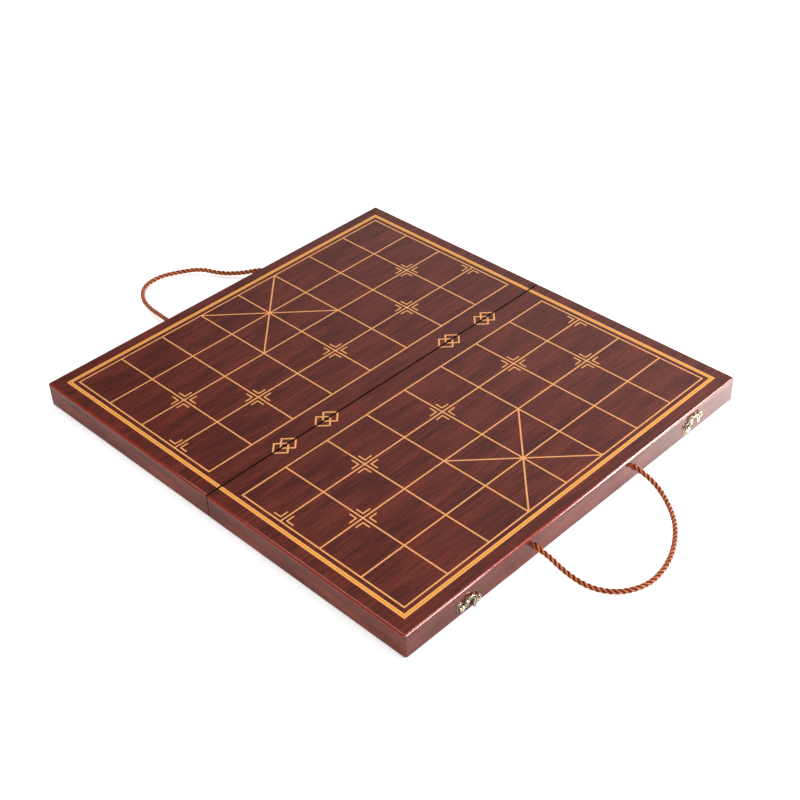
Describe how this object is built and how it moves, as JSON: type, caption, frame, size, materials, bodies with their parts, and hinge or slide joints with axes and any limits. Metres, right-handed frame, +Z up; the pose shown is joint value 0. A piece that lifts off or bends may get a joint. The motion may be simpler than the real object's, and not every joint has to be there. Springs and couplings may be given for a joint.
{
  "type": "folding xiangqi box",
  "caption": "Two shallow wooden trays hinged along the river, open flat as a xiangqi board with gold inlaid lines, with swing hooks and cord handles.",
  "frame": {"origin": "bottom centre of the open box without its cord handles: under the middle of the hinge line, on the surface it stands on", "axes": "+X along the river, +Y from the river to the far half's outer side, +Z up, out of the playing surface"},
  "size_m": [0.444, 0.6781, 0.0265],
  "materials": {
    "rosewood_lacquer": "gloss lacquer",
    "gold_inlay": "satin gold paint",
    "felt_lining": "felt",
    "antique_bronze": "antiqued",
    "hinge_brass": "brushed",
    "screw_steel": "plated",
    "cord_rayon": "twisted cord"
  },
  "bodies": {
    "near_half": {"near_panel": "rosewood_lacquer", "near_outer_rail": "rosewood_lacquer", "near_hinge_rail": "rosewood_lacquer", "near_left_rail": "rosewood_lacquer", "near_right_rail": "rosewood_lacquer", "near_lining": "felt_lining", "near_grid_lines": "gold_inlay", "near_point_marks": "gold_inlay", "near_border_band": "gold_inlay", "near_river_ornaments": "gold_inlay", "near_hinge_screws": "screw_steel", "front_cord": "cord_rayon", "front_cord_knots": "cord_rayon", "latch_nails": "antique_bronze", "left_latch_plate": "antique_bronze", "left_latch_rivet": "antique_bronze", "left_hinge_near_leaf": "hinge_brass", "left_hinge_pin": "hinge_brass", "right_latch_plate": "antique_bronze", "right_latch_rivet": "antique_bronze", "right_hinge_near_leaf": "hinge_brass", "right_hinge_pin": "hinge_brass"},
    "far_half": {"far_panel": "rosewood_lacquer", "far_outer_rail": "rosewood_lacquer", "far_hinge_rail": "rosewood_lacquer", "far_left_rail": "rosewood_lacquer", "far_right_rail": "rosewood_lacquer", "far_lining": "felt_lining", "far_grid_lines": "gold_inlay", "far_point_marks": "gold_inlay", "far_border_band": "gold_inlay", "far_river_ornaments": "gold_inlay", "far_hinge_screws": "screw_steel", "back_cord": "cord_rayon", "back_cord_knots": "cord_rayon", "catch_nails": "antique_bronze", "left_catch_plate": "antique_bronze", "left_catch_peg": "antique_bronze", "left_hinge_far_leaf": "hinge_brass", "right_catch_plate": "antique_bronze", "right_catch_peg": "antique_bronze", "right_hinge_far_leaf": "hinge_brass"},
    "left_hook": {"left_hook": "antique_bronze"},
    "right_hook": {"right_hook": "antique_bronze"}
  },
  "joints": [
    {"name": "fold", "type": "hinge", "parent": "near_half", "child": "far_half", "pos_m": [0, 0, 0.0015], "axis": [-1, 0, 0], "range_deg": [0, 180]},
    {"name": "left_hook_swing", "type": "hinge", "parent": "near_half", "child": "left_hook", "pos_m": [-0.159, -0.241, 0.0105], "axis": [0, -1, 0], "range_deg": [-90, 90]},
    {"name": "right_hook_swing", "type": "hinge", "parent": "near_half", "child": "right_hook", "pos_m": [0.146, -0.241, 0.0105], "axis": [0, -1, 0], "range_deg": [-117, 63]}
  ]
}
